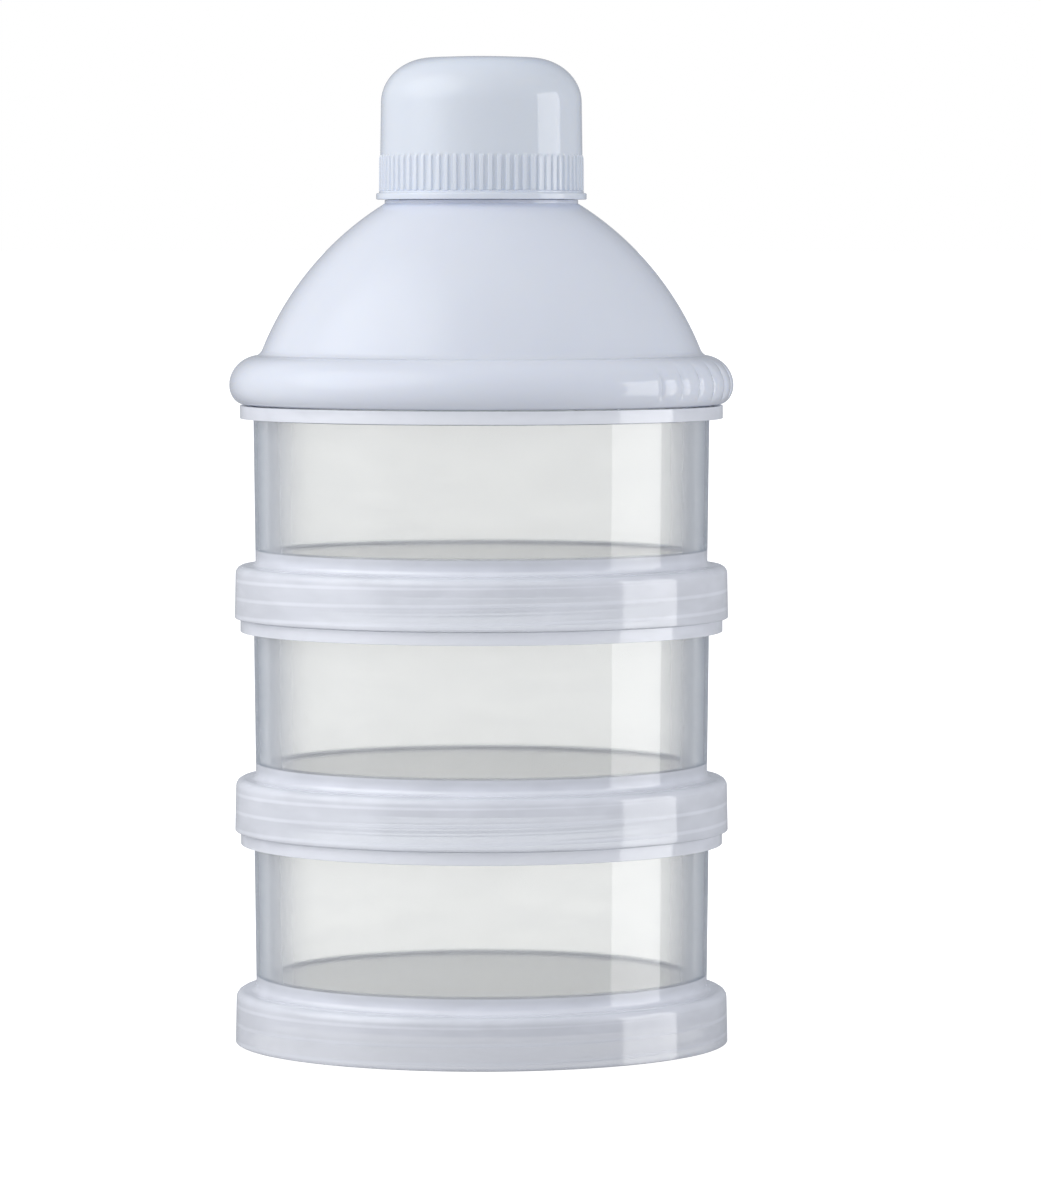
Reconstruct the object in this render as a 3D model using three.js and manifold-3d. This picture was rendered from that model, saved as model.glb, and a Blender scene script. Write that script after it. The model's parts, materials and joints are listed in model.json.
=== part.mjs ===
// A stacking powder dispenser: three alike screw-together containers, a funnel lid and a screw cap.
// Millimetres, +Z up. The origin is the centre of the face that the stack stands on, and the front is -Y.
// Needs the npm packages three and manifold-3d.
import * as THREE from 'three';
import { mergeVertices } from 'three/addons/utils/BufferGeometryUtils.js';
import Module from 'manifold-3d';

const wasm = await Module();
wasm.setup();

// ---------- driving dimensions ----------
const SEGMENTS = 36; // facets round the axis, and thread steps in one turn
const STEP = (2 * Math.PI) / SEGMENTS;
const GAP = 0.3; // clearance between pieces that seat on each other
const EMBED = 0.35; // how far a thread ridge is rooted in its wall

// the stack: each skirt's bottom is one TIER above the last
const TIER = 30;
const TIERS = 3;

// skirt: the wide threaded foot of a container. The funnel lid's rim has the same bore and ledge.
const SKIRT_R = 34.8;
const SKIRT_TOP_R = 34.65;
const SKIRT_EDGE = 0.45;
const SKIRT_CORNER = 1.4;
const SHOULDER_Z = 7.4;
const SKIRT_BORE_R = 32.9;
const LEDGE_Z = 6.1;
const LEDGE_R = 31.6;
const LEDGE_CHAMFER = 1.5;
const RECESS_R = 30;

// body, flange and neck of a container
const BODY_LOW_R = 31.85;
const BODY_TOP_R = 32.1;
const BORE_R = 30.2;
const BORE_LOW_R = 30.1;
const FLOOR_TOP_Z = 9.35;
const FLOOR_THICK = 1.2;
const FLANGE_R = 34;
const FLANGE_Z = 28.1;
const FLANGE_TOP_Z = 29.7;
const NECK_R = 31.1;
const NECK_TOP_Z = 34.7;
const NECK_EDGE = 0.3;

// the stack's right-hand, single-start thread
const STACK_PITCH = 2.5;
const MALE_Z = 30.35; // centre of the neck's ridge at its low end
const MALE_CREST_R = 32.4;
const MALE_STEPS = 53;
const FEMALE_CREST_R = 31.7;
const FEMALE_FIRST = -9; // steps before azimuth 0 at which the skirt's ridge begins
const FEMALE_STEPS = 46;
const RIDGE_ROOT = 1; // ridge width at the wall
const RIDGE_CREST = 0.5; // ridge width at the crest

// seal ring under the ledge of each skirt
const SEAL_IN_R = 30.2;
const SEAL_OUT_R = 31.4;
const SEAL_THICK = LEDGE_Z - GAP - (NECK_TOP_Z - TIER) - GAP;

// funnel lid: a rounded rim, a dome and a spout
const LID_Z = TIERS * TIER;
const RIM_Z = LID_Z + GAP;
const RIM_MID_Z = LID_Z + 2.8;
const RIM_LOW_R = 33.3;
const RIM_R = 35.5;
const RIM_TOP_R = 31;
const RIM_TOP_Z = LID_Z + 7;
const RIM_TOP_TURN = 88; // degrees of the rim's upper curve before the dome takes over
const DOME_CENTRE_R = -9.11;
const DOME_CENTRE_Z = LID_Z - 8.37;
const DOME_R = 43.09;
const DOME_THICK = 1.6;
const COLLAR_R = 13.6;
const COLLAR_Z = LID_Z + 28.5;
const SPOUT_R = 11.5;
const SPOUT_BORE_R = 10.1;
const SPOUT_TOP_Z = LID_Z + 44.3;
const SPOUT_EDGE = 0.4;

// grip: two opposite zones of upright grooves in the rim
const GROOVES = 8;
const GROOVE_FIRST_DEG = 44.6; // from the front towards +X
const GROOVE_PITCH_DEG = 7.3;
const GROOVE_DEPTH = 0.55;
const GROOVE_OUT = 0.7;
const GROOVE_HALF = 1.4;

// the spout's thread
const CAP_PITCH = 3;
const SPOUT_MALE_Z = LID_Z + 30.4;
const SPOUT_CREST_R = 12.6;
const SPOUT_MALE_STEPS = 72;
const CAP_CREST_R = 12.1;
const CAP_FEMALE_FIRST = -21;
const CAP_FEMALE_STEPS = 54;

// screw cap
const CAP_Z = COLLAR_Z + GAP;
const CAP_FLANGE_R = 14.8;
const CAP_FLANGE_TOP_Z = CAP_Z + 0.9;
const CAP_EDGE = 0.2;
const CAP_BAND_R = 14.5;
const FIN_Z = CAP_Z + 1.25;
const FIN_TOP_Z = CAP_Z + 6.4;
const FIN_R = 14.4;
const FIN_GROOVE_R = 14.15;
const FIN_ROOT_R = 13.8; // the fins are rooted inside the wall
const FINS = 72;
const FIN_SHARE = 0.36; // share of the pitch that the fin takes
const CAP_WALL_R = 14.2;
const CAP_SHOULDER_R = 14.1;
const CAP_SHOULDER_Z = CAP_Z + 13.6;
const CAP_CROWN_R = 6.9;
const CAP_CROWN_Z = CAP_Z + 19.9;
const CAP_TOP_Z = CAP_Z + 20.1;
const CAP_BORE_R = 13;
const CAP_BORE_TOP_R = 12.95;
const CAP_BORE_BEND_R = 12.6;
const CAP_LAND_R = 11.9;
const CAP_LAND_IN_R = 8.4;
const CAP_CEILING_R = 7.4;
const CAP_CEILING_Z = CAP_Z + 18.7;
const LINER_R = 11.3;
const LINER_THICK = 1;
const LINER_Z = SPOUT_TOP_Z + GAP;
const CAP_LAND_Z = LINER_Z + LINER_THICK + GAP;

// ---------- materials ----------
const clearPlastic = { color: 0xdcdfe4, roughness: 0.18, metalness: 0 };
const milkyPlastic = { color: 0xdce2ee, roughness: 0.3, metalness: 0 };
const capPlastic = { color: 0xd4dde9, roughness: 0.34, metalness: 0 };
const silicone = { color: 0xeef0f0, roughness: 0.55, metalness: 0 };

// ---------- helpers ----------
// Points along part of an ellipse, from one angle to another in degrees.
function arc(centreR, centreZ, radiusR, radiusZ, fromDeg, toDeg, steps) {
  const points = [];
  for (let i = 0; i <= steps; i += 1) {
    const a = THREE.MathUtils.degToRad(fromDeg + ((toDeg - fromDeg) * i) / steps);
    points.push([centreR + radiusR * Math.cos(a), centreZ + radiusZ * Math.sin(a)]);
  }
  return points;
}

// A turned solid about +Z from a profile of [radius, z] points that runs anticlockwise.
function turned(profile) {
  const points = profile.map(([r, z]) => new THREE.Vector2(Math.max(r, 0), z));
  const geometry = new THREE.LatheGeometry(points, SEGMENTS);
  geometry.rotateX(Math.PI / 2);
  return geometry;
}

// The same as a ring: the profile closes on its own first point.
function ring(profile) {
  return turned([...profile, profile[0]]);
}

// A helical ridge whose foot is at rootR and whose crest is at crestR, fading out at both ends.
function ridge({ pitch, z, first, steps, wallR, crestR }) {
  const side = Math.sign(crestR - wallR);
  const rootR = wallR - side * EMBED;
  const sunkR = rootR + side * 0.1;
  const section = 4;
  const positions = [];
  for (let i = 0; i <= steps; i += 1) {
    const height = Math.min(1, i / 3, (steps - i) / 3);
    const topR = sunkR + (crestR - sunkR) * height;
    const a = (first + i) * STEP;
    const midZ = z + (pitch * (first + i)) / SEGMENTS;
    const corners = [
      [rootR, -RIDGE_ROOT / 2],
      [topR, -RIDGE_CREST / 2],
      [topR, RIDGE_CREST / 2],
      [rootR, RIDGE_ROOT / 2],
    ];
    for (const [r, dz] of corners) {
      positions.push(r * Math.cos(a), r * Math.sin(a), midZ + dz);
    }
  }
  const index = [];
  for (let i = 0; i < steps; i += 1) {
    for (let k = 0; k < section; k += 1) {
      const a = i * section + k;
      const b = i * section + ((k + 1) % section);
      index.push(a, a + section, b, b, a + section, b + section);
    }
  }
  const end = steps * section;
  index.push(0, 1, 2, 0, 2, 3, end, end + 2, end + 1, end, end + 3, end + 2);
  const geometry = new THREE.BufferGeometry();
  geometry.setAttribute('position', new THREE.Float32BufferAttribute(positions, 3));
  geometry.setIndex(index);
  return geometry;
}

// A closed geometry as a solid, with its faces turned outwards.
function solid(source) {
  const bare = source.clone();
  bare.deleteAttribute('normal');
  bare.deleteAttribute('uv');
  const merged = mergeVertices(bare, 1e-5);
  const at = merged.attributes.position;
  const corner = [new THREE.Vector3(), new THREE.Vector3(), new THREE.Vector3()];
  const faces = [];
  let volume = 0;
  for (let i = 0; i < merged.index.count; i += 3) {
    const face = [0, 1, 2].map((k) => merged.index.getX(i + k));
    if (new Set(face).size === 3) {
      face.forEach((vertex, k) => corner[k].fromBufferAttribute(at, vertex));
      volume += corner[0].dot(corner[1].clone().cross(corner[2]));
      faces.push(face);
    }
  }
  const outward = volume > 0 ? faces : faces.map(([a, b, c]) => [a, c, b]);
  const mesh = new wasm.Mesh({
    numProp: 3,
    vertProperties: new Float32Array(at.array),
    triVerts: new Uint32Array(outward.flat()),
  });
  return new wasm.Manifold(mesh);
}

// A solid back as a geometry.
function geometryOf(body) {
  const mesh = body.getMesh();
  const geometry = new THREE.BufferGeometry();
  geometry.setAttribute('position', new THREE.BufferAttribute(new Float32Array(mesh.vertProperties), 3));
  geometry.setIndex(new THREE.BufferAttribute(new Uint32Array(mesh.triVerts), 1));
  geometry.computeVertexNormals();
  return geometry;
}

function piece(name, geometry, finish, z = 0) {
  const mesh = new THREE.Mesh(geometry, new THREE.MeshStandardMaterial(finish));
  mesh.name = name;
  mesh.position.z = z;
  return mesh;
}

// The ridge inside a skirt. It lies half a pitch from the ridge of the neck below.
function skirtRidge() {
  return ridge({
    pitch: STACK_PITCH,
    z: MALE_Z - TIER + STACK_PITCH / 2,
    first: FEMALE_FIRST,
    steps: FEMALE_STEPS,
    wallR: SKIRT_BORE_R,
    crestR: FEMALE_CREST_R,
  });
}

// ---------- pieces ----------
function containerGeometry() {
  const cornerR = SKIRT_TOP_R - SKIRT_CORNER;
  const cornerZ = SHOULDER_Z - SKIRT_CORNER;
  const profile = [
    [0, FLOOR_TOP_Z - FLOOR_THICK],
    [RECESS_R, FLOOR_TOP_Z - FLOOR_THICK],
    [RECESS_R, LEDGE_Z],
    [LEDGE_R, LEDGE_Z],
    [SKIRT_BORE_R, LEDGE_Z - LEDGE_CHAMFER],
    [SKIRT_BORE_R, 0],
    [SKIRT_R - SKIRT_EDGE, 0],
    [SKIRT_R, SKIRT_EDGE],
    ...arc(cornerR, cornerZ, SKIRT_CORNER, SKIRT_CORNER, 0, 90, 2),
    [BODY_LOW_R, SHOULDER_Z],
    [BODY_TOP_R, FLANGE_Z],
    [FLANGE_R, FLANGE_Z],
    [FLANGE_R, FLANGE_TOP_Z],
    [NECK_R, FLANGE_TOP_Z],
    [NECK_R, NECK_TOP_Z - NECK_EDGE],
    [NECK_R - NECK_EDGE, NECK_TOP_Z],
    [BORE_R, NECK_TOP_Z],
    [BORE_LOW_R, FLOOR_TOP_Z],
    [0, FLOOR_TOP_Z],
  ];
  const neckRidge = ridge({
    pitch: STACK_PITCH,
    z: MALE_Z,
    first: 0,
    steps: MALE_STEPS,
    wallR: NECK_R,
    crestR: MALE_CREST_R,
  });
  return geometryOf(solid(turned(profile)).add(solid(neckRidge)).add(solid(skirtRidge())));
}

function sealGeometry() {
  const top = LEDGE_Z - GAP;
  return ring([
    [SEAL_IN_R, top - SEAL_THICK],
    [SEAL_OUT_R, top - SEAL_THICK],
    [SEAL_OUT_R, top],
    [SEAL_IN_R, top],
  ]);
}

// Angle in degrees at which an arc about the dome's centre reaches a radius from the axis.
function domeTurn(arcR, radius) {
  return THREE.MathUtils.radToDeg(Math.acos((radius - DOME_CENTRE_R) / arcR));
}

function grooveCutters() {
  const wedge = new THREE.Shape([
    new THREE.Vector2(RIM_R - GROOVE_DEPTH, 0),
    new THREE.Vector2(RIM_R + GROOVE_OUT, GROOVE_HALF),
    new THREE.Vector2(RIM_R + GROOVE_OUT, -GROOVE_HALF),
  ]);
  const height = RIM_TOP_Z - RIM_Z + 2 * GAP;
  const cutters = [];
  for (const side of [0, 180]) {
    for (let i = 0; i < GROOVES; i += 1) {
      const azimuth = side + GROOVE_FIRST_DEG + i * GROOVE_PITCH_DEG - 90;
      const cutter = new THREE.ExtrudeGeometry(wedge, { depth: height, bevelEnabled: false });
      cutter.rotateZ(THREE.MathUtils.degToRad(azimuth));
      cutter.translate(0, 0, RIM_Z - GAP);
      cutters.push(solid(cutter));
    }
  }
  return cutters;
}

function funnelGeometry() {
  const innerR = DOME_R - DOME_THICK;
  const lowTurn = THREE.MathUtils.radToDeg(Math.asin((RIM_TOP_Z - DOME_CENTRE_Z) / DOME_R));
  const innerLowTurn = THREE.MathUtils.radToDeg(Math.asin((RIM_TOP_Z - DOME_CENTRE_Z) / innerR));
  const rimHalf = RIM_MID_Z - RIM_Z;
  const profile = [
    [SKIRT_BORE_R, RIM_Z],
    ...arc(RIM_LOW_R, RIM_MID_Z, RIM_R - RIM_LOW_R, rimHalf, -90, 0, 3),
    ...arc(RIM_TOP_R, RIM_MID_Z, RIM_R - RIM_TOP_R, RIM_TOP_Z - RIM_MID_Z, 0, RIM_TOP_TURN, 5).slice(1, -1),
    ...arc(DOME_CENTRE_R, DOME_CENTRE_Z, DOME_R, DOME_R, lowTurn, domeTurn(DOME_R, COLLAR_R), 7),
    [COLLAR_R, COLLAR_Z],
    [SPOUT_R, COLLAR_Z],
    [SPOUT_R, SPOUT_TOP_Z - SPOUT_EDGE],
    [SPOUT_R - SPOUT_EDGE, SPOUT_TOP_Z],
    [SPOUT_BORE_R, SPOUT_TOP_Z],
    ...arc(DOME_CENTRE_R, DOME_CENTRE_Z, innerR, innerR, domeTurn(innerR, SPOUT_BORE_R), innerLowTurn, 6),
    [RECESS_R, LID_Z + LEDGE_Z],
    [LEDGE_R, LID_Z + LEDGE_Z],
    [SKIRT_BORE_R, LID_Z + LEDGE_Z - LEDGE_CHAMFER],
  ];
  const spoutRidge = ridge({
    pitch: CAP_PITCH,
    z: SPOUT_MALE_Z,
    first: 0,
    steps: SPOUT_MALE_STEPS,
    wallR: SPOUT_R,
    crestR: SPOUT_CREST_R,
  });
  const rimRidge = skirtRidge().translate(0, 0, LID_Z);
  let body = solid(ring(profile)).add(solid(spoutRidge)).add(solid(rimRidge));
  for (const cutter of grooveCutters()) {
    body = body.subtract(cutter);
  }
  return geometryOf(body);
}

// The band of fine upright fins, as one toothed ring that is joined to the cap's wall.
function finBandGeometry() {
  const pitch = (2 * Math.PI) / FINS;
  const half = (pitch * FIN_SHARE) / 2;
  const points = [];
  for (let i = 0; i < FINS; i += 1) {
    const mid = i * pitch;
    const corners = [
      [FIN_ROOT_R, mid - half],
      [FIN_R, mid - half],
      [FIN_R, mid + half],
      [FIN_ROOT_R, mid + half],
    ];
    for (const [r, a] of corners) {
      points.push(new THREE.Vector2(r * Math.cos(a), r * Math.sin(a)));
    }
  }
  const outline = new THREE.Shape(points);
  const core = new THREE.Path();
  core.absarc(0, 0, (CAP_BORE_R + FIN_ROOT_R) / 2, 0, 2 * Math.PI, true);
  outline.holes.push(core);
  const overlap = 0.1;
  const depth = FIN_TOP_Z - FIN_Z + 2 * overlap;
  const band = new THREE.ExtrudeGeometry(outline, { depth, bevelEnabled: false, curveSegments: SEGMENTS });
  return band.translate(0, 0, FIN_Z - overlap);
}

function capGeometry() {
  const crownR = CAP_SHOULDER_R - CAP_CROWN_R;
  const crownZ = CAP_CROWN_Z - CAP_SHOULDER_Z;
  const profile = [
    [0, CAP_CEILING_Z],
    [CAP_CEILING_R, CAP_CEILING_Z],
    [CAP_LAND_IN_R, CAP_LAND_Z],
    [CAP_LAND_R, CAP_LAND_Z],
    [CAP_BORE_BEND_R, LINER_Z],
    [CAP_BORE_TOP_R, CAP_SHOULDER_Z],
    [CAP_BORE_R, CAP_Z],
    [CAP_FLANGE_R - CAP_EDGE, CAP_Z],
    [CAP_FLANGE_R, CAP_Z + CAP_EDGE],
    [CAP_FLANGE_R, CAP_FLANGE_TOP_Z],
    [CAP_BAND_R, CAP_FLANGE_TOP_Z],
    [CAP_BAND_R, FIN_Z],
    [FIN_GROOVE_R, FIN_Z],
    [FIN_GROOVE_R, FIN_TOP_Z],
    [CAP_WALL_R, FIN_TOP_Z],
    ...arc(CAP_CROWN_R, CAP_SHOULDER_Z, crownR, crownZ, 0, 90, 5),
    [0, CAP_TOP_Z],
  ];
  const capRidge = ridge({
    pitch: CAP_PITCH,
    z: SPOUT_MALE_Z + CAP_PITCH / 2,
    first: CAP_FEMALE_FIRST,
    steps: CAP_FEMALE_STEPS,
    wallR: CAP_BORE_R,
    crestR: CAP_CREST_R,
  });
  return geometryOf(solid(turned(profile)).add(solid(finBandGeometry())).add(solid(capRidge)));
}

function linerGeometry() {
  return turned([
    [0, LINER_Z],
    [LINER_R, LINER_Z],
    [LINER_R, LINER_Z + LINER_THICK],
    [0, LINER_Z + LINER_THICK],
  ]);
}

// ---------- the assembly ----------
const dispenser = new THREE.Group();
const tierNames = ['bottom_container', 'middle_container', 'top_container'];
tierNames.forEach((name, tier) => {
  const group = new THREE.Group();
  group.position.z = tier * TIER;
  group.add(piece(name, containerGeometry(), clearPlastic));
  group.add(piece(`${name}_seal`, sealGeometry(), silicone));
  dispenser.add(group);
});
dispenser.add(piece('funnel_lid', funnelGeometry(), milkyPlastic));
dispenser.add(piece('funnel_seal', sealGeometry(), silicone, LID_Z));
dispenser.add(piece('screw_cap', capGeometry(), capPlastic));
dispenser.add(piece('cap_liner', linerGeometry(), silicone));

export default dispenser;
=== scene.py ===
"""Looks of a stacking powder dispenser: three clear containers, a milky funnel lid and its screw cap.

Every visible piece is turned here as a smooth moulding that stands for its faceted CAD node.
Outlines are in millimetres, with z counted from the node's own foot. The scene is in metres.
"""

import json
import math

import bmesh
import bpy
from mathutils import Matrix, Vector


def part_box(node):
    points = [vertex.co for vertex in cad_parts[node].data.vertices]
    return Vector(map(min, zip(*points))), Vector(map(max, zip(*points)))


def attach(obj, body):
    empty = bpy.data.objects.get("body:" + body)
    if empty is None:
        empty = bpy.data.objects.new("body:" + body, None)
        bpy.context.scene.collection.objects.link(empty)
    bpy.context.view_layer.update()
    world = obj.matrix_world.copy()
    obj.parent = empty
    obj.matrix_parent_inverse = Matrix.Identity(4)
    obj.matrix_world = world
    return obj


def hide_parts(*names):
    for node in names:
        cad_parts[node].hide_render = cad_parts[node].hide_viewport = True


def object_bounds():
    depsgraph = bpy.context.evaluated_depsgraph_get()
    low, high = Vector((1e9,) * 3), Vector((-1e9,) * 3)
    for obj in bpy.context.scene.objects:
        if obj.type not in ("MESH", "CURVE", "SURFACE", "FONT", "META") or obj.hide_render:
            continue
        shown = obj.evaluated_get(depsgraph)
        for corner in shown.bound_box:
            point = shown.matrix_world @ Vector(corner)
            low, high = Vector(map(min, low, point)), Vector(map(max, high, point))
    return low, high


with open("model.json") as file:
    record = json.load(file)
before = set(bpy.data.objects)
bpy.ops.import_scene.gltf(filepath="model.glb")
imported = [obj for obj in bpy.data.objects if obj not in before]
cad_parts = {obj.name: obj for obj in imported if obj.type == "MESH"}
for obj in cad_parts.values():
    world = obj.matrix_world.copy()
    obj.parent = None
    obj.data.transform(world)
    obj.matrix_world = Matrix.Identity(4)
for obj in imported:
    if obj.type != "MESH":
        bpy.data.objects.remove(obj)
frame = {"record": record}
cad_low, cad_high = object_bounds()
bodies = frame["record"]["behaviour"]["bodies"]
node_body = {node: body for body, members in bodies.items() for node in members}

MM = 0.001
TURN = 2 * math.pi
SEGMENTS = 240  # columns round a plain moulding
FILLET_STEPS = 4
FILLET_HEM = 0.12  # a narrow flat row beside each fillet keeps the shading of wide faces even
SHARP = math.radians(32)  # steeper edges than this stay crisp
WELD = 0.002  # slivers narrower than this are closed up where solids merge
LIGHT_BOUNCES = 32  # light crosses many walls of plastic

# sizes shared by the skirts, the necks and the lid's rim
SKIRT_BORE_R = 32.9
LEDGE_Z = 6.1
LEDGE_R = 31.6
LEDGE_CHAMFER = 1.5
RECESS_R = 30.0
TIER = 30.0
STACK_PITCH = 2.5
CAP_PITCH = 3.0
NECK_RIDGE_Z = 30.35
SKIRT_RIDGE_Z = NECK_RIDGE_Z - TIER + STACK_PITCH / 2  # half a pitch from the neck's ridge
RIDGE_ROOT = 1.0
RIDGE_CREST = 0.5
RIDGE_SUNK = 0.35  # how deep a ridge is rooted in its wall
RIDGE_END = 0.08  # share of its height that a ridge keeps at its ends, where it lies inside the wall
LID_LIFT = 0.3  # the lid's rim stands this far above its tier's level
WINDOW_LOW = 9.6  # a container's wall is polished between these heights
WINDOW_HIGH = 28.1
SKIRT_FACE_R = 33.6  # the outer faces beyond this radius are polished too
WINDOW_MILK = 0.12  # share of milky plastic seen in the clear one
SHELL_MILK = (0.76, 0.86)  # on outer faces, from a skirt's lip to its shoulder
FOOT_MILK = 0.70  # at the foot of a wall, beside its floor
SKIRT_MILK = 0.04
NECK_MILK = 0.01
FLOOR_MILK = 0.16
CORNER_MILK = 0.3  # in the fillet round a floor, and in the gap above a flange
EDGE_SHADE_SHARE = 0.66  # painted shade: more of a dark blue-grey milk where a wall is seen edge on, which also stands for absorption along the wall
RIDGE_MILK = 0.15  # more of it where a ridge thickens a skirt
FLOOR_EDGE = (29.5, 30.0)  # a floor's haze ends between these radii
FROST = 0.10  # roughness that threads and floors add to the polish


# ---------- outlines ----------
def clamped(share):
    return min(1, max(0, share))


def eased(share):
    """A share between 0 and 1 that leaves and reaches its ends gently."""
    return share * share * (3 - 2 * share)


def arc(centre_r, centre_z, radius_r, radius_z, start, end, steps):
    """Points along part of an ellipse, from one angle to another in degrees."""
    points = []
    for i in range(steps + 1):
        a = math.radians(start + (end - start) * i / steps)
        points.append((centre_r + radius_r * math.cos(a), centre_z + radius_z * math.sin(a)))
    return points


def bend(start, corner, end, steps=6):
    """Points on a soft curve between two points, pulled towards a corner. It leaves both ends out."""
    points = []
    for i in range(1, steps):
        t = i / steps
        shares = ((1 - t) ** 2, 2 * t * (1 - t), t * t)
        point = [sum(s * p for s, p in zip(shares, places)) for places in zip(start, corner, end)]
        points.append(tuple(point))
    return points


def filleted(corners, closed=False):
    """An outline from (r, z, fillet radius) corners, with each corner rounded by a curve."""
    points = []
    last = len(corners) - 1
    for i, (r, z, radius) in enumerate(corners):
        if radius == 0 or (not closed and i in (0, last)):
            points.append((r, z))
            continue
        here = Vector((r, z))
        before = Vector(corners[i - 1][:2]) - here
        after = Vector(corners[(i + 1) % len(corners)][:2]) - here
        half = before.angle(after) / 2
        reach = min(radius / math.tan(half), 0.49 * before.length, 0.49 * after.length)
        a = here + before.normalized() * reach
        b = here + after.normalized() * reach
        centre = here + (a + b - 2 * here).normalized() * reach / math.cos(half)
        if before.length > 2 * (reach + FILLET_HEM):
            points.append(tuple(a + before.normalized() * FILLET_HEM))
        for k in range(FILLET_STEPS + 1):
            turn = k / FILLET_STEPS
            spoke = (a - centre).lerp(b - centre, turn).normalized() * (a - centre).length
            points.append(tuple(centre + spoke))
        if after.length > 2 * (reach + FILLET_HEM):
            points.append(tuple(b + after.normalized() * FILLET_HEM))
    return points


# ---------- meshes ----------
def mesh_object(name, vertices, faces):
    mesh = bpy.data.meshes.new(name)
    mesh.from_pydata([tuple(c * MM for c in v) for v in vertices], [], faces)
    mesh.validate()
    obj = bpy.data.objects.new(name, mesh)
    bpy.context.scene.collection.objects.link(obj)
    return obj


def even_columns(count=SEGMENTS):
    return [TURN * i / count for i in range(count)]


def turned(name, outline, foot, columns, relief=None, closed=False):
    """A solid turned about +Z from an anticlockwise outline.

    relief(r, z, azimuth) may shift the radius.
    """
    vertices = []
    rows = []
    for r, z in outline:
        if r < 1e-6:
            rows.append([len(vertices)] * len(columns))
            vertices.append((0, 0, foot + z))
            continue
        row = []
        for a in columns:
            radius = relief(r, z, a) if relief else r
            row.append(len(vertices))
            vertices.append((radius * math.cos(a), radius * math.sin(a), foot + z))
        rows.append(row)
    if closed:
        rows.append(rows[0])
    faces = []
    for low, high in zip(rows, rows[1:]):
        for i in range(len(columns)):
            j = (i + 1) % len(columns)
            corners = [low[i], low[j], high[j], high[i]]
            face = [v for k, v in enumerate(corners) if v != corners[k - 1]]
            if len(face) > 2:
                faces.append(face)
    return mesh_object(name, vertices, faces)


def ridge(name, foot, pitch, z, wall_r, crest_r, first, turns, steps=SEGMENTS):
    """A rounded helical ridge that fades into its wall at both ends.

    Its centre is at height z at azimuth 0. It starts at first and runs for turns, both counted in turns.
    """
    side = 1 if crest_r > wall_r else -1
    root_r = wall_r - side * RIDGE_SUNK
    count = round(turns * steps)
    begin = round(first * steps)
    fade = steps / 6  # a sixth of a turn
    profile = filleted([
        (0.0, -RIDGE_ROOT / 2, 0),
        (1.0, -RIDGE_CREST / 2, 0.18),
        (1.0, RIDGE_CREST / 2, 0.18),
        (0.0, RIDGE_ROOT / 2, 0),
    ])
    vertices = []
    for i in range(count + 1):
        height = eased(min(1, i / fade, (count - i) / fade))
        height = RIDGE_END + (1 - RIDGE_END) * height
        a = TURN * (begin + i) / steps
        middle = foot + z + pitch * (begin + i) / steps
        for across, dz in profile:
            r = root_r + (crest_r - root_r) * height * across
            vertices.append((r * math.cos(a), r * math.sin(a), middle + dz))
    n = len(profile)
    faces = []
    for i in range(count):
        for k in range(n):
            a = i * n + k
            b = i * n + (k + 1) % n
            faces.append((a, a + n, b + n, b))
    faces.append(tuple(range(n)))
    faces.append(tuple(count * n + k for k in reversed(range(n))))
    if side < 0:
        faces = [tuple(reversed(f)) for f in faces]
    return mesh_object(name, vertices, faces)


def close_slivers(mesh):
    """Welds the tiny edges and faces that are left where merged solids cross."""
    skin = bmesh.new()
    skin.from_mesh(mesh)
    bmesh.ops.triangulate(skin, faces=skin.faces)
    bmesh.ops.remove_doubles(skin, verts=skin.verts, dist=WELD * MM)
    bmesh.ops.dissolve_degenerate(skin, edges=skin.edges, dist=WELD * MM)
    skin.to_mesh(mesh)
    skin.free()


def joined(body, *extras):
    """The body with other closed solids merged into it as one skin."""
    for extra in extras:
        union = body.modifiers.new("union", "BOOLEAN")
        union.operation = "UNION"
        union.solver = "MANIFOLD"
        union.object = extra
    evaluated = body.evaluated_get(bpy.context.evaluated_depsgraph_get())
    merged = bpy.data.meshes.new_from_object(evaluated)
    body.modifiers.clear()
    body.data = merged
    close_slivers(merged)
    for extra in extras:
        bpy.data.objects.remove(extra)
    return body


def finished(piece, node, material):
    """Shades a piece, gives it its material, and puts it in its node's place and on its body."""
    mesh = piece.data
    mesh.shade_smooth()
    mesh.set_sharp_from_angle(angle=SHARP)
    mesh.materials.clear()
    mesh.materials.append(material)
    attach(piece, node_body[node])
    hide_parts(node)
    return piece


def foot_of(node):
    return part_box(node)[0].z / MM


def radius_of(node):
    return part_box(node)[1].x / MM


def height_of(node):
    low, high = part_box(node)
    return (high.z - low.z) / MM


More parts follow.
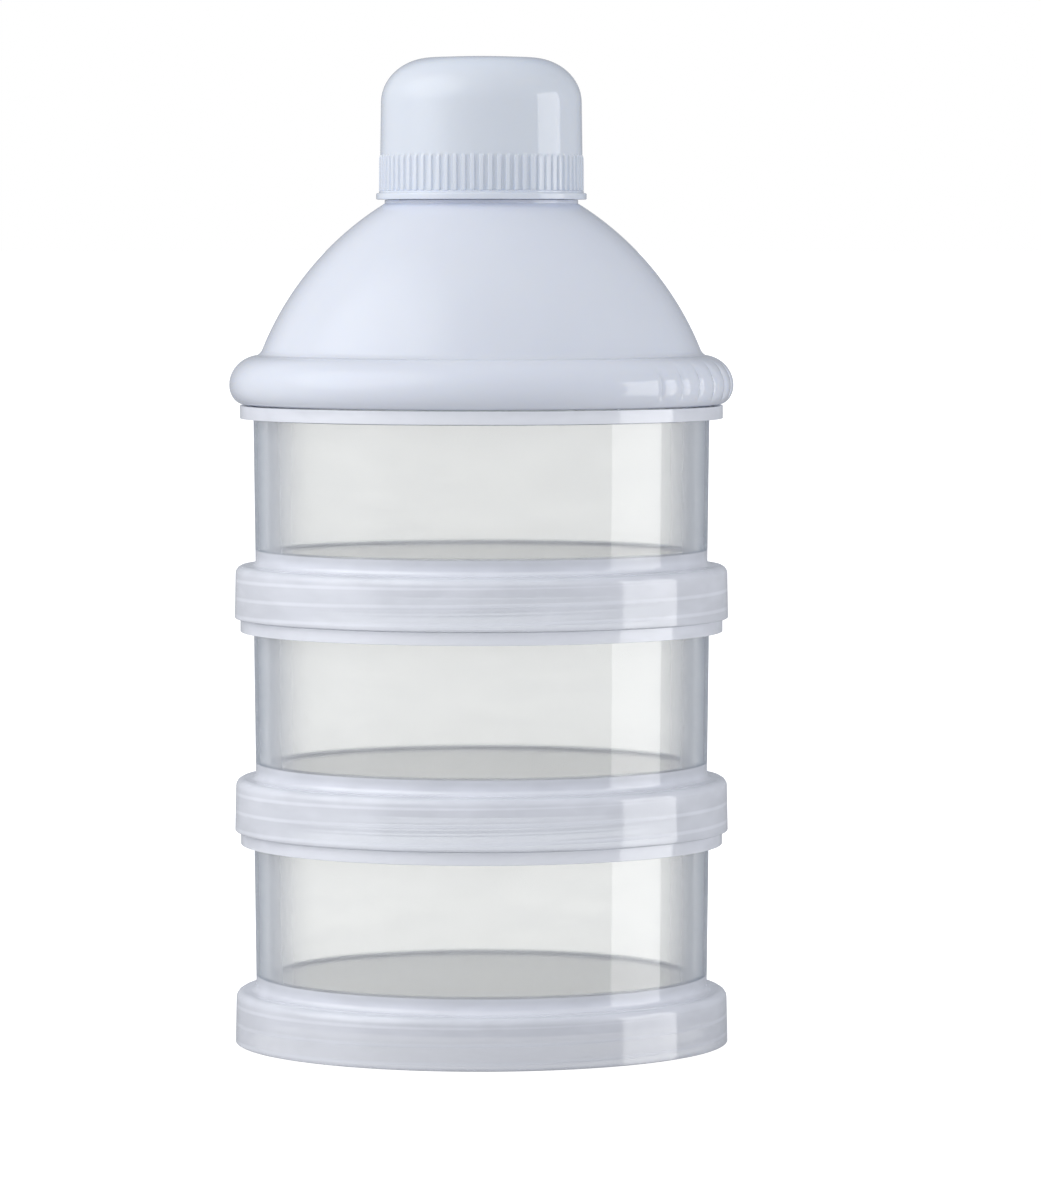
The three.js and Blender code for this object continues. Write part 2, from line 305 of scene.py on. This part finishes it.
# ---------- materials ----------
class Nodes:
    """The node tree of a material or a world, with short ways to add to it."""

    def __init__(self, owner, output="ShaderNodeOutputMaterial"):
        owner.use_nodes = True
        self.owner = owner
        self.tree = owner.node_tree
        self.tree.nodes.clear()
        self.out = self.add(output)

    def add(self, kind, **values):
        node = self.tree.nodes.new(kind)
        for key, value in values.items():
            if key in node.inputs:
                node.inputs[key].default_value = value
            else:
                setattr(node, key, value)
        return node

    def set(self, node, name, value):
        node.inputs[name].default_value = value

    def link(self, source, target):
        self.tree.links.new(source, target)

    def place(self):
        """Where a point is, in the object's own metres."""
        return self.add("ShaderNodeTexCoord").outputs["Object"]

    def noise(self, scale, stretch=(1, 1, 1), detail=2.0):
        """Noise in the object's own metres. scale is in features per metre."""
        mapping = self.add("ShaderNodeMapping")
        self.set(mapping, "Scale", stretch)
        self.link(self.place(), mapping.inputs["Vector"])
        noise = self.add("ShaderNodeTexNoise")
        self.set(noise, "Scale", scale)
        self.set(noise, "Detail", detail)
        self.set(noise, "Roughness", 0.5)
        self.link(mapping.outputs["Vector"], noise.inputs["Vector"])
        return noise.outputs["Fac"]

    def ranged(self, value, low, high, from_low=0.3, from_high=0.7):
        """A value carried smoothly from one range to another, and held at its ends."""
        node = self.add("ShaderNodeMapRange", interpolation_type="SMOOTHSTEP")
        self.set(node, "From Min", from_low)
        self.set(node, "From Max", from_high)
        self.set(node, "To Min", low)
        self.set(node, "To Max", high)
        self.link(value, node.inputs["Value"])
        return node.outputs["Result"]

    def rise(self, value, low, high):
        """0 to 1 between two distances in millimetres."""
        return self.ranged(value, 0, 1, low * MM, high * MM)

    def fall(self, value, low, high):
        """1 to 0 between two distances in millimetres."""
        return self.ranged(value, 1, 0, low * MM, high * MM)

    def band(self, value, low, high, soft=0.1):
        """1 between two distances in millimetres, and 0 elsewhere."""
        return self.product(self.rise(value, low, low + soft), self.fall(value, high - soft, high))

    def math(self, operation, *values):
        """A sum on node outputs or plain numbers."""
        node = self.add("ShaderNodeMath", operation=operation)
        for socket, value in zip(node.inputs, values):
            if isinstance(value, (int, float)):
                socket.default_value = value
            else:
                self.link(value, socket)
        return node.outputs["Value"]

    def product(self, *values):
        total = values[0]
        for value in values[1:]:
            total = self.math("MULTIPLY", total, value)
        return total

    def complement(self, value):
        """What is left of 1."""
        return self.math("SUBTRACT", 1, value)

    def mixed(self, share, a, b):
        """Between a and b by share. Each is a plain number, a colour or a node's output."""
        is_colour = any(isinstance(v, tuple) or getattr(v, "type", "") == "RGBA" for v in (a, b))
        node = self.add("ShaderNodeMix", data_type="RGBA" if is_colour else "FLOAT")
        sockets = [s for s in node.inputs if s.enabled]
        for socket, value in zip(sockets, (share, a, b)):
            if isinstance(value, (int, float, tuple)):
                socket.default_value = value
            else:
                self.link(value, socket)
        return next(s for s in node.outputs if s.enabled)

    def seen(self):
        """1 for what is seen directly or through plastic, 0 for what only lights or is mirrored."""
        path = self.add("ShaderNodeLightPath").outputs
        return self.math("MAXIMUM", path["Is Camera Ray"], path["Is Transmission Ray"])

    def bump(self, *heights):
        """Bumps from (height, size in metres) pairs, one on another."""
        normal = None
        for height, size in heights:
            node = self.add("ShaderNodeBump")
            self.set(node, "Distance", size)
            self.link(height, node.inputs["Height"])
            if normal is not None:
                self.link(normal, node.inputs["Normal"])
            normal = node.outputs["Normal"]
        return normal


def clear_plastic():
    """Clear polypropylene: polished windows and outer faces, with frosted floors, threads and necks.

    A share of milky plastic stands for its haze, and where a wall is seen edge on a darker share of it
    is painted shade. Zones are set by the radius and by the level in a tier.
    """
    n = Nodes(bpy.data.materials.new("clear_plastic"))
    split = n.add("ShaderNodeSeparateXYZ")
    n.link(n.place(), split.inputs["Vector"])
    x, y, z = split.outputs
    level = n.math("WRAP", z, TIER * MM, 0)
    radius = n.math("SQRT", n.math("ADD", n.product(x, x), n.product(y, y)))
    below_window = n.fall(level, WINDOW_LOW - 0.15, WINDOW_LOW + 0.15)
    above_window = n.rise(level, WINDOW_HIGH - 0.1, WINDOW_HIGH)
    worked = n.math("MAXIMUM", below_window, above_window)
    inside = n.fall(radius, SKIRT_FACE_R - 0.1, SKIRT_FACE_R + 0.1)
    on_face = n.complement(inside)
    on_floor = n.fall(radius, *FLOOR_EDGE)

    foot = n.product(n.rise(radius, 31.2, 31.5), n.rise(level, 6.6, 7.2))  # the wall up to its window
    shell = n.math("MAXIMUM", foot, on_face)
    shell_milk = n.ranged(level, *SHELL_MILK, 3.0 * MM, 7.0 * MM)
    shell_milk = n.mixed(n.band(level, 8.0, 11.0, 1.2), shell_milk, FOOT_MILK)
    frosted_milk = n.ranged(radius, NECK_MILK, SKIRT_MILK, 32.5 * MM, 32.8 * MM)
    frosted_milk = n.mixed(on_floor, frosted_milk, FLOOR_MILK)
    share = n.mixed(worked, WINDOW_MILK, n.mixed(shell, frosted_milk, shell_milk))

    corner = n.product(n.band(radius, 28.9, 30.7), n.band(level, 9.2, 9.9))
    seam = n.math("MAXIMUM", n.band(level, 29.5, 30.2), n.band(level, -0.2, 0.3))
    gap = n.product(n.band(radius, 32.6, 33.7), seam)
    share = n.mixed(n.math("MAXIMUM", corner, gap), share, CORNER_MILK)

    cloud = n.noise(110, (1, 1, 3))
    share = n.product(share, n.ranged(cloud, 0.94, 1.06))
    # painted shade: where a wall is seen edge on, the milk grows and turns dark blue-grey; it also
    # stands for absorption along the wall
    view = n.add("ShaderNodeLayerWeight", Blend=0.5)
    painted_edge_shade = n.product(n.ranged(view.outputs["Facing"], 0, 1, 0.33, 0.85), n.complement(worked))
    share = n.math("MULTIPLY_ADD", painted_edge_shade, EDGE_SHADE_SHARE, share)

    turns = n.math("ARCTAN2", y, x)
    climb = n.math("MULTIPLY_ADD", turns, -STACK_PITCH * MM / TURN, level)
    climb = n.math("SUBTRACT", climb, (SKIRT_RIDGE_Z - STACK_PITCH / 2) * MM)
    off_ridge = n.math("SUBTRACT", n.math("WRAP", climb, STACK_PITCH * MM, 0), STACK_PITCH / 2 * MM)
    over_ridge = n.fall(n.math("ABSOLUTE", off_ridge), 0.08, 0.38)
    over_ridge = n.product(over_ridge, n.fall(level, 5.8, 6.2), on_face)
    share = n.math("MULTIPLY_ADD", over_ridge, RIDGE_MILK, share)

    glass = n.add("ShaderNodeBsdfPrincipled")
    n.link(n.mixed(worked, (0.98, 0.98, 0.955, 1), (0.97, 0.99, 1.0, 1)), glass.inputs["Base Color"])
    n.set(glass, "IOR", 1.49)
    n.link(n.mixed(worked, 0.35, 0.6), glass.inputs["Specular IOR Level"])
    n.set(glass, "Transmission Weight", 1.0)
    polish = n.ranged(n.noise(1500), 0.04, 0.06)
    n.link(n.math("MULTIPLY_ADD", n.product(worked, inside), FROST, polish), glass.inputs["Roughness"])
    milk = n.add("ShaderNodeBsdfPrincipled")
    # the milk's colour darkens to blue-grey where a wall is seen edge on, as painted shade
    n.link(n.mixed(painted_edge_shade, (0.92, 0.935, 1.0, 1), (0.28, 0.33, 0.40, 1)), milk.inputs["Base Color"])
    n.set(milk, "Roughness", 0.09)
    n.set(milk, "Specular IOR Level", 0.7)
    normal = n.bump((n.noise(38, (1, 1, 0.35)), 0.00007))
    for shader in (glass, milk):
        n.link(normal, shader.inputs["Normal"])
    mix = n.add("ShaderNodeMixShader")
    n.link(share, mix.inputs["Fac"])
    n.link(glass.outputs["BSDF"], mix.inputs[1])
    n.link(milk.outputs["BSDF"], mix.inputs[2])
    n.link(mix.outputs["Shader"], n.out.inputs["Surface"])
    absorb = n.add("ShaderNodeVolumeAbsorption")
    n.set(absorb, "Color", (0.45, 0.55, 0.66, 1))
    n.set(absorb, "Density", 7.0)
    n.link(absorb.outputs["Volume"], n.out.inputs["Volume"])
    return n.owner


def milky_plastic(name, colour, roughness, specks):
    """Milky polypropylene: light soaks in a little, under a soft moulded gloss."""
    n = Nodes(bpy.data.materials.new(name))

    def shade(share):
        return tuple(c * share for c in colour) + (1,)

    shell = n.add("ShaderNodeBsdfPrincipled")
    n.set(shell, "IOR", 1.49)
    n.set(shell, "Subsurface Weight", 0.35)
    n.set(shell, "Subsurface Radius", (0.9, 1.0, 1.2))
    n.set(shell, "Subsurface Scale", 0.0018)
    clouds = n.noise(55, (1, 1, 0.6), 3)
    surface = n.mixed(n.ranged(clouds, 0, 1), shade(0.975), shade(1))
    if specks:
        cells = n.add("ShaderNodeTexVoronoi")
        n.set(cells, "Scale", 120)
        n.link(n.place(), cells.inputs["Vector"])
        dots = n.ranged(cells.outputs["Distance"], 1, 0, 0.012, 0.03)
        surface = n.mixed(dots, surface, shade(0.8))
    # painted shade: the colour darkens to 0.6 of itself where the surface is seen edge on
    view = n.add("ShaderNodeLayerWeight", Blend=0.5)
    rim = n.ranged(view.outputs["Facing"], 0, 0.6, 0.6, 1.0)
    n.link(n.mixed(rim, surface, shade(0.6)), shell.inputs["Base Color"])
    grain = n.noise(1300)
    n.link(n.ranged(grain, roughness - 0.03, roughness + 0.05), shell.inputs["Roughness"])
    n.link(n.bump((n.noise(45), 0.00012), (grain, 0.0000015)), shell.inputs["Normal"])
    n.link(shell.outputs["BSDF"], n.out.inputs["Surface"])
    return n.owner


def soft_silicone():
    """Translucent white silicone of the seals and the liner."""
    n = Nodes(bpy.data.materials.new("silicone"))
    rubber = n.add("ShaderNodeBsdfPrincipled")
    n.set(rubber, "Base Color", (0.93, 0.94, 0.96, 1))
    n.set(rubber, "IOR", 1.41)
    n.set(rubber, "Transmission Weight", 0.25)
    dust = n.noise(900, detail=3)
    n.link(n.ranged(dust, 0.4, 0.6), rubber.inputs["Roughness"])
    n.link(n.bump((dust, 0.00001)), rubber.inputs["Normal"])
    n.link(rubber.outputs["BSDF"], n.out.inputs["Surface"])
    return n.owner


CLEAR = clear_plastic()
MILKY = milky_plastic("milky_plastic", (0.82, 0.85, 0.935), 0.07, True)
CAP = milky_plastic("cap_plastic", (0.815, 0.865, 0.965), 0.055, False)
SILICONE = soft_silicone()


# ---------- pieces ----------
def skirt_ridge(name, foot):
    """The ridge inside a skirt or rim."""
    return ridge(name, foot, STACK_PITCH, SKIRT_RIDGE_Z, SKIRT_BORE_R, 31.7, first=-0.25, turns=1.28)


def container(node):
    foot = foot_of(node)
    outer_r = radius_of(node)
    floor_z, floor_thick = 9.35, 1.2
    shoulder_z = 7.4
    flange_r, flange_z, flange_top_z = 34.0, WINDOW_HIGH, 29.92
    neck_r, neck_top_z, bore_r = 31.1, 34.7, 30.2
    outline = filleted([
        (0, floor_z - floor_thick, 0),
        (RECESS_R, floor_z - floor_thick, 0.4),
        (RECESS_R, LEDGE_Z, 0.15),
        (LEDGE_R, LEDGE_Z, 0.3),
        (SKIRT_BORE_R, LEDGE_Z - LEDGE_CHAMFER, 0.3),
        (SKIRT_BORE_R, 0, 0.25),
        (outer_r, 0, 0.15),
        (outer_r - 0.15, shoulder_z, 1.1),
        (31.85, shoulder_z, 0.7),
        (32.1, flange_z, 0.1),
        (flange_r, flange_z, 0.05),
        (flange_r, flange_top_z, 0.08),
        (neck_r, flange_top_z, 0.15),
        (neck_r, neck_top_z, 0.35),
        (bore_r, neck_top_z, 0.3),
        (bore_r - 0.1, floor_z, 0.4),
        (0, floor_z, 0),
    ])
    body = turned(node + "_moulding", outline, foot, even_columns())
    neck = ridge("neck_ridge", foot, STACK_PITCH, NECK_RIDGE_Z, neck_r, 32.4, first=0, turns=1.47)
    joined(body, neck, skirt_ridge("skirt_ridge", foot))
    return finished(body, node, CLEAR)


def seal(node):
    inner_r, outer_r, thick = 30.2, radius_of(node), 0.8
    outline = filleted([
        (inner_r, 0, 0.2),
        (outer_r, 0, 0.2),
        (outer_r, thick, 0.2),
        (inner_r, thick, 0.2),
    ], closed=True)
    ring = turned(node + "_ring", outline, foot_of(node), even_columns(), closed=True)
    return finished(ring, node, SILICONE)


GRIP_FIRST = math.radians(44.6)  # from the front towards +X
GRIP_PITCH = math.radians(7.3)
GRIP_LOBES = 7
GRIP_DEPTH = 0.32
GRIP_INNER_R = 33.4  # the grooves stay outside this radius
GRIP_COLUMNS = 16  # across one lobe
PLAIN_COLUMNS = 120  # from one grip to the other


def grip_azimuths():
    """Columns round the lid: even ones, with close ones across each lobe of the two grips."""
    front = -math.pi / 2
    columns = []
    for side in (0, math.pi):
        start = front + GRIP_FIRST + side
        end = start + GRIP_LOBES * GRIP_PITCH
        fine = GRIP_LOBES * GRIP_COLUMNS
        columns += [start + (end - start) * i / fine for i in range(fine)]
        rest = math.pi - (end - start)
        columns += [end + rest * i / PLAIN_COLUMNS for i in range(PLAIN_COLUMNS)]
    return columns


def grip_relief(r, z, azimuth):
    """Cuts the rim into upright lobes with narrow grooves between them, in the two grips."""
    from_front = (azimuth + math.pi / 2 - GRIP_FIRST) % math.pi
    across = from_front / GRIP_PITCH
    if across > GRIP_LOBES + 1e-6 or r < GRIP_INNER_R:
        return r
    height = eased(clamped((z - 0.3) / 1.2) * clamped((6.2 - z) / 2.0))  # shallow at both ends
    from_crest = abs(2 * (across % 1) - 1)
    return r - GRIP_DEPTH * height * from_crest ** 3


def funnel_lid(node):
    foot = foot_of(node)
    level = -LID_LIFT  # the tier's level, seen from the lid's own foot
    rim_r = radius_of(node)
    rim_low = level + 0.05  # just clear of the flange below
    rim_mid = level + 2.8
    rim_top = level + 7.0
    centre_r, centre_z = -9.11, level - 8.37  # of the arcs that the dome follows
    outer, inner = 43.09, 41.49  # the radii of its two faces
    collar_r, collar_z = 13.6, level + 28.75
    spout_r, spout_bore, spout_top = 11.5, 10.1, level + 44.3

    def turn_at_z(radius, z):
        return math.degrees(math.asin((z - centre_z) / radius))

    def turn_at_r(radius, r):
        return math.degrees(math.acos((r - centre_r) / radius))

    roll_r, brow_r = 33.3, 31.0  # the middles of the rim's lower and upper curve
    outline = [(SKIRT_BORE_R, rim_low)]
    outline += arc(roll_r, rim_mid, rim_r - roll_r, rim_mid - rim_low, -90, 0, 14)
    outline += arc(brow_r, rim_mid, rim_r - brow_r, rim_top - rim_mid, 0, 80, 20)[1:]
    from_rim, to_collar = turn_at_z(outer, rim_top + 0.6), turn_at_r(outer, collar_r)
    dome = arc(centre_r, centre_z, outer, outer, from_rim, to_collar, 40)
    outline += bend(outline[-1], (31.35, rim_top - 0.05), dome[0])
    outline += dome
    outline += filleted([
        outline[-1] + (0,),
        (collar_r, collar_z, 0.12),
        (spout_r, collar_z, 0.3),
        (spout_r, spout_top, 0.5),
        (spout_bore, spout_top, 0.4),
        (spout_bore, collar_z, 0),
    ])[1:-1]
    from_bore, to_rim = turn_at_r(inner, spout_bore), turn_at_z(inner, rim_top)
    outline += arc(centre_r, centre_z, inner, inner, from_bore, to_rim, 30)
    outline += filleted([
        outline[-1] + (0,),
        (RECESS_R, level + LEDGE_Z, 0.2),
        (LEDGE_R, level + LEDGE_Z, 0.3),
        (SKIRT_BORE_R, level + LEDGE_Z - LEDGE_CHAMFER, 0.3),
        (SKIRT_BORE_R, rim_low, 0),
    ])[1:-1]
    shell = turned(node + "_moulding", outline, foot, grip_azimuths(), grip_relief, closed=True)
    spout = ridge("spout_ridge", foot, CAP_PITCH, level + 30.4, spout_r, 12.6, first=0, turns=2.0)
    joined(shell, spout, skirt_ridge("rim_ridge", foot + level))
    return finished(shell, node, MILKY)


FINS = 72
FIN_FOOT = 1.25
FIN_TOP = 5.8
FIN_FADE = 0.5  # a fin runs out this far above its top
FIN_INNER_R = 13.7  # the fins stay outside this radius
FIN_PROUD = 0.2  # how far a fin stands out of the cap's wall
FIN_GROOVE = 0.12  # how far the grooves between fins lie inside it
FIN_STATIONS = (-0.5, -0.30, -0.27, -0.22, -0.17, 0.0, 0.17, 0.22, 0.27, 0.30)  # share of the pitch


def fin_columns():
    return [TURN * (i + s) / FINS for i in range(FINS) for s in FIN_STATIONS]


def fin_relief(r, z, azimuth):
    """Raises fine upright fins round the foot of the cap's wall."""
    if r < FIN_INNER_R or not FIN_FOOT <= z <= FIN_TOP + FIN_FADE:
        return r
    off = abs((azimuth / TURN * FINS + 0.5) % 1 - 0.5)  # from the fin's middle, in pitches
    share = eased(clamped((0.28 - off) / 0.11))
    fade = math.sin(clamped((FIN_TOP + FIN_FADE - z) / 0.8) * math.pi / 2)
    return r + (share * (FIN_PROUD + FIN_GROOVE) - FIN_GROOVE) * fade


def screw_cap(node):
    foot = foot_of(node)
    flange_r = radius_of(node)
    height = height_of(node)
    bore_r, wall_r, shoulder_z = 13.0, 14.2, 13.6
    shoulder_r, crown_r, crown_z = 14.1, 6.9, height - 0.2
    ceiling_z, land_z = 18.7, 17.1
    outline = filleted([
        (0, ceiling_z, 0),
        (7.4, ceiling_z, 0.5),
        (8.4, land_z, 0.3),
        (11.9, land_z, 0.4),
        (12.6, 15.8, 0.8),
        (12.95, shoulder_z, 0.4),
        (bore_r, 0, 0.3),
        (flange_r, 0, 0.15),
        (flange_r, 0.9, 0.22),
        (wall_r + 0.2, 0.9, 0.1),
        (wall_r + 0.2, FIN_FOOT - 0.05, 0.05),
        (wall_r, FIN_FOOT, 0.03),
        (wall_r, FIN_TOP, 0),
    ])
    rows = 5
    outline += [(wall_r, FIN_TOP + FIN_FADE * i / rows) for i in range(1, rows + 1)]
    outline += [(wall_r, FIN_TOP + 0.75), (wall_r, FIN_TOP + 1.0)]
    outline += arc(crown_r, shoulder_z, shoulder_r - crown_r, crown_z - shoulder_z, 0, 90, 28)
    outline += [(crown_r * 0.66, height - 0.1), (crown_r * 0.33, height - 0.03), (0, height)]
    cap = turned(node + "_moulding", outline, foot, fin_columns(), fin_relief)
    spout_ridge_z = 1.6  # the spout's ridge, seen from the cap's foot
    ridge_z = spout_ridge_z + CAP_PITCH / 2
    inner = ridge("cap_ridge", foot, CAP_PITCH, ridge_z, bore_r, 12.1, first=-0.58, turns=1.5)
    joined(cap, inner)
    return finished(cap, node, CAP)


def liner(node):
    outer_r, thick = radius_of(node), height_of(node)
    outline = filleted([
        (0, 0, 0),
        (outer_r, 0, 0.2),
        (outer_r, thick, 0.2),
        (0, thick, 0),
    ])
    disc = turned(node + "_disc", outline, foot_of(node), even_columns(SEGMENTS // 2))
    return finished(disc, node, SILICONE)


# ---------- stage, camera and light ----------
def stage_floor():
    """A pale floor that runs to the horizon.

    It is seen as a lit white sweep, and it lights the object less.
    """
    n = Nodes(bpy.data.materials.new("pale_floor"))
    paint = n.add("ShaderNodeBsdfPrincipled")
    n.set(paint, "Roughness", 0.8)
    n.set(paint, "Specular IOR Level", 0.0)
    n.set(paint, "Emission Color", (1, 1, 1, 1))
    out = n.add("ShaderNodeVectorMath", operation="LENGTH")
    n.link(n.place(), out.inputs[0])
    # painted shadow: the floor's colour and the light it gives off are lower near the object
    clear_of_painted_shadow = n.rise(out.outputs["Value"], 34, 75)
    n.link(n.mixed(clear_of_painted_shadow, (0.22, 0.22, 0.22, 1), (0.45, 0.45, 0.45, 1)), paint.inputs["Base Color"])
    # painted shadow: the floor is seen darker beneath the object
    shade = n.ranged(out.outputs["Value"], 0.48, 0.83, 24 * MM, 36 * MM)
    # painted shadow in the light the floor gives the object: less of it near the object
    emitted = n.mixed(n.seen(), n.mixed(clear_of_painted_shadow, 0.12, 0.24), shade)
    direct = n.add("ShaderNodeLightPath").outputs["Is Camera Ray"]
    emitted = n.math("MULTIPLY_ADD", direct, 0.17, emitted)  # pure white beside the object
    n.link(emitted, paint.inputs["Emission Strength"])
    n.link(paint.outputs["BSDF"], n.out.inputs["Surface"])
    side = 40.0
    down = -0.00003  # just clear of the foot
    corners = [(-side, -side, down), (side, -side, down), (side, side, down), (-side, side, down)]
    mesh = bpy.data.meshes.new("floor")
    mesh.from_pydata(corners, [], [(0, 1, 2, 3)])
    mesh.materials.append(n.owner)
    floor = bpy.data.objects.new("floor", mesh)
    bpy.context.scene.collection.objects.link(floor)
    floor.visible_glossy = False  # the lamp's reflection reaches down to the foot


def camera():
    """A long lens, a little above the cap's level, that looks slightly down from the front."""
    data = bpy.data.cameras.new("camera")
    data.lens = 191
    data.clip_end = 100
    eye = Vector((0, -0.897, 0.114))
    target = Vector((0.0055, 0, 0.0624))
    obj = bpy.data.objects.new("camera", data)
    obj.location = eye
    obj.rotation_euler = (target - eye).to_track_quat("-Z", "Y").to_euler()
    bpy.context.scene.collection.objects.link(obj)
    bpy.context.scene.camera = obj


KEY_WAY = (-66, 33)  # azimuth and elevation of the soft key light


def way_to(azimuth, elevation):
    """The direction at an azimuth, from the front towards +X, and an elevation."""
    a, e = math.radians(azimuth), math.radians(elevation)
    return Vector((math.sin(a) * math.cos(e), -math.cos(a) * math.cos(e), math.sin(e)))


def softbox(name, way, distance, width, height, watts, mirrored=True):
    """A rectangular light that faces the middle of the object."""
    aim = (cad_low + cad_high) / 2
    away = way_to(*way)
    data = bpy.data.lights.new(name, "AREA")
    data.shape = "RECTANGLE"
    data.size = width
    data.size_y = height
    data.energy = watts
    obj = bpy.data.objects.new(name, data)
    obj.location = aim + away * distance
    obj.rotation_euler = away.to_track_quat("Z", "Y").to_euler()
    obj.visible_camera = False
    obj.visible_transmission = False
    obj.visible_glossy = mirrored
    bpy.context.scene.collection.objects.link(obj)


def studio():
    """White where it is seen, and a dim cool room, lighter at the upper left, for light and gloss."""
    world = bpy.data.worlds.new("studio")
    n = Nodes(world, "ShaderNodeOutputWorld")
    away = n.add("ShaderNodeTexCoord").outputs["Generated"]

    def facing(way):
        """1 towards a direction, -1 away from it."""
        dot = n.add("ShaderNodeVectorMath", operation="DOT_PRODUCT")
        n.link(away, dot.inputs[0])
        dot.inputs[1].default_value = way
        return dot.outputs["Value"]

    lighter = facing(Vector((-0.75, -0.35, 0.56)).normalized())
    side = n.math("MULTIPLY_ADD", lighter, 0.5, 0.5)
    dim = n.mixed(side, (0.26, 0.28, 0.32, 1), (0.65, 0.67, 0.71, 1))
    # the key light is mirrored as a glow with no edge
    lobe = n.ranged(facing(way_to(*KEY_WAY)), 0, 1, 0.72, 0.99)
    in_gloss = n.product(lobe, n.add("ShaderNodeLightPath").outputs["Is Glossy Ray"])
    room = n.mixed(in_gloss, dim, (2.0, 2.05, 2.1, 1))
    back = n.add("ShaderNodeBackground")
    n.link(n.mixed(n.seen(), room, (1.0, 1.0, 1.0, 1)), back.inputs["Color"])
    n.link(back.outputs["Background"], n.out.inputs["Surface"])
    world.cycles.sampling_method = "NONE"  # so that every ray through plastic sees the white
    scene = bpy.context.scene
    scene.world = world
    scene.view_settings.view_transform = "Standard"
    scene.cycles.max_bounces = LIGHT_BOUNCES
    scene.cycles.transmission_bounces = LIGHT_BOUNCES
    scene.cycles.glossy_bounces = LIGHT_BOUNCES // 2
    scene.cycles.diffuse_bounces = LIGHT_BOUNCES // 2


camera()
studio()
stage_floor()
softbox("right_box", (84, 2), distance=0.6, width=0.36, height=0.5, watts=1.5)
softbox("left_key", KEY_WAY, distance=0.9, width=0.9, height=0.9, watts=4.0, mirrored=False)

for tier_name in ("bottom_container", "middle_container", "top_container"):
    container(tier_name)
    seal(tier_name + "_seal")
funnel_lid("funnel_lid")
seal("funnel_seal")
screw_cap("screw_cap")
liner("cap_liner")
